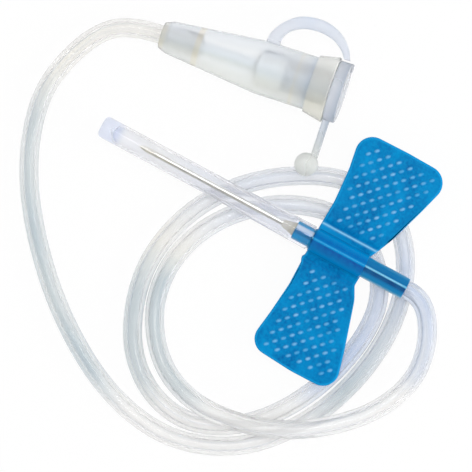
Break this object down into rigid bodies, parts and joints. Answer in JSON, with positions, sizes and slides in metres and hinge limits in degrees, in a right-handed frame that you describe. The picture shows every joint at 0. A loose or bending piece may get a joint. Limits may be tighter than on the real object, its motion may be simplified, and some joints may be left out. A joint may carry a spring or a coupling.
{
  "type": "butterfly needle",
  "caption": "Winged infusion needle with flexible blue wings, sheathed steel cannula, coiled clear tubing and a tethered cap on a luer connector.",
  "frame": {"origin": "on the needle's axis at the middle of the wing saddle, where the set is held or taped", "axes": "+X along the needle towards its tip, +Y towards the left wing, +Z away from the skin"},
  "size_m": [0.0565, 0.0529, 0.008],
  "materials": {
    "cannula": "ground and polished steel",
    "bond": "cured adhesive",
    "hub": "clear tinted, polished",
    "sheath": "milky clear",
    "wings": "soft moulded, satin",
    "tubing": "clear extruded",
    "connector": "frosted clear",
    "cap": "moulded, translucent"
  },
  "bodies": {
    "root": {"needle_cannula": "cannula", "needle_bond": "bond", "needle_hub": "hub", "wing_saddle": "wings", "tubing": "tubing", "luer_connector": "connector", "cap_strap": "cap"},
    "sheath": {"needle_sheath": "sheath"},
    "wing_left": {"wing_left": "wings"},
    "wing_right": {"wing_right": "wings"},
    "cap": {"luer_cap": "cap"}
  },
  "joints": [
    {"name": "sheath_slide", "type": "slide", "parent": "root", "child": "sheath", "axis": [1, 0, 0], "range_m": [0, 0.03]},
    {"name": "wing_left_fold", "type": "hinge", "parent": "root", "child": "wing_left", "pos_m": [0, 0.0024, -0.0011], "axis": [1, 0, 0], "range_deg": [0, 85], "stiffness_Nm_per_rad": 0.0005},
    {"name": "wing_right_fold", "type": "hinge", "parent": "root", "child": "wing_right", "pos_m": [0, -0.0024, -0.0011], "axis": [-1, 0, 0], "range_deg": [0, 85], "stiffness_Nm_per_rad": 0.0005},
    {"name": "cap_pull", "type": "slide", "parent": "root", "child": "cap", "axis": [-0.9806, -0.1734, 0.091], "range_m": [0, 0.008], "deforming": ["cap_strap"]}
  ]
}
